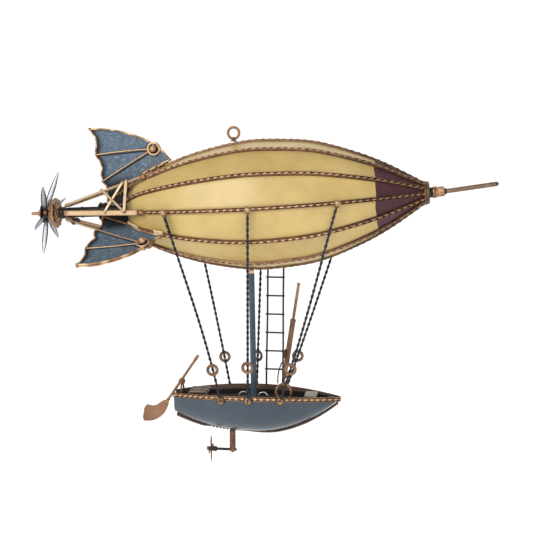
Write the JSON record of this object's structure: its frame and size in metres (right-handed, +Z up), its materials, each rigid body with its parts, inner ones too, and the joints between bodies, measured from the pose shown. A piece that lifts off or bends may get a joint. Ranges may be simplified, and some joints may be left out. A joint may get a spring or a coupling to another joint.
{
  "type": "hanging metal airship model",
  "caption": "Hand-made metal airship model hung from a ring: ribbed cream envelope, bat-wing fins, tail propeller and a blue boat slung below on twisted stays.",
  "frame": {"origin": "centre of the hanging ring's hole", "axes": "+X to the nose, +Z up, +Y to the far side; the boat is level and the envelope is pitched nose up"},
  "size_m": [0.5641, 0.1912, 0.4126],
  "materials": {
    "envelope_paint": "satin",
    "copper_trim": "antique copper",
    "brass_bars": "antique brass",
    "dark_steel": "dark wire",
    "propeller_steel": "brushed",
    "fin_blue": "brushed blue",
    "boat_blue": "gloss",
    "boat_brown": "satin"
  },
  "bodies": {
    "frame": {"boat_deck": "boat_brown", "boat_hull": "boat_blue", "bow_bench": "boat_brown", "envelope": "envelope_paint", "fin_far": "fin_blue", "fin_frame_far": "copper_trim", "fin_frame_near": "copper_trim", "fin_frame_top": "copper_trim", "fin_near": "fin_blue", "fin_top": "fin_blue", "gun_barrel": "copper_trim", "gun_stand": "copper_trim", "gunwale_trim": "copper_trim", "hanging_ring": "copper_trim", "keel_drive_leg": "copper_trim", "keel_strip": "copper_trim", "ladder": "dark_steel", "mast": "boat_blue", "mast_hoop_aft": "dark_steel", "mast_hoop_fore": "dark_steel", "nose_boss": "brass_bars", "nose_collar": "copper_trim", "nose_rod": "brass_bars", "oar_yoke": "copper_trim", "rib_000": "copper_trim", "rib_030": "copper_trim", "rib_060": "copper_trim", "rib_090": "copper_trim", "rib_120": "copper_trim", "rib_150": "copper_trim", "rib_180": "copper_trim", "rib_210": "copper_trim", "rib_240": "copper_trim", "rib_270": "copper_trim", "rib_300": "copper_trim", "rib_330": "copper_trim", "stay_aft_far": "dark_steel", "stay_aft_near": "dark_steel", "stay_fore_far": "dark_steel", "stay_fore_near": "dark_steel", "stay_mid_far": "dark_steel", "stay_mid_near": "dark_steel", "stern_bench": "boat_brown", "tail_bar_000": "brass_bars", "tail_bar_060": "brass_bars", "tail_bar_120": "brass_bars", "tail_bar_180": "brass_bars", "tail_bar_240": "brass_bars", "tail_bar_300": "brass_bars", "tail_boom": "dark_steel", "tail_brace_far": "brass_bars", "tail_brace_low": "brass_bars", "tail_brace_near": "brass_bars", "tail_pin": "brass_bars"},
    "tail_rotor": {"tail_propeller": "propeller_steel", "tail_flange": "copper_trim"},
    "keel_rotor": {"keel_propeller": "copper_trim"},
    "oar": {"steering_oar": "copper_trim"}
  },
  "joints": [
    {"name": "tail_propeller_spin", "type": "hinge", "parent": "frame", "child": "tail_rotor", "pos_m": [-0.23526, 0, -0.09813], "axis": [0.9991, 0, 0.0413], "continuous": true},
    {"name": "keel_propeller_spin", "type": "hinge", "parent": "frame", "child": "keel_rotor", "pos_m": [-0.0298, 0, -0.3886], "axis": [1, 0, 0], "continuous": true},
    {"name": "steering_oar_hinge", "type": "hinge", "parent": "frame", "child": "oar", "pos_m": [-0.0655, -0.0024, -0.3037], "axis": [0, 1, 0], "range_deg": [-4, 25]}
  ]
}
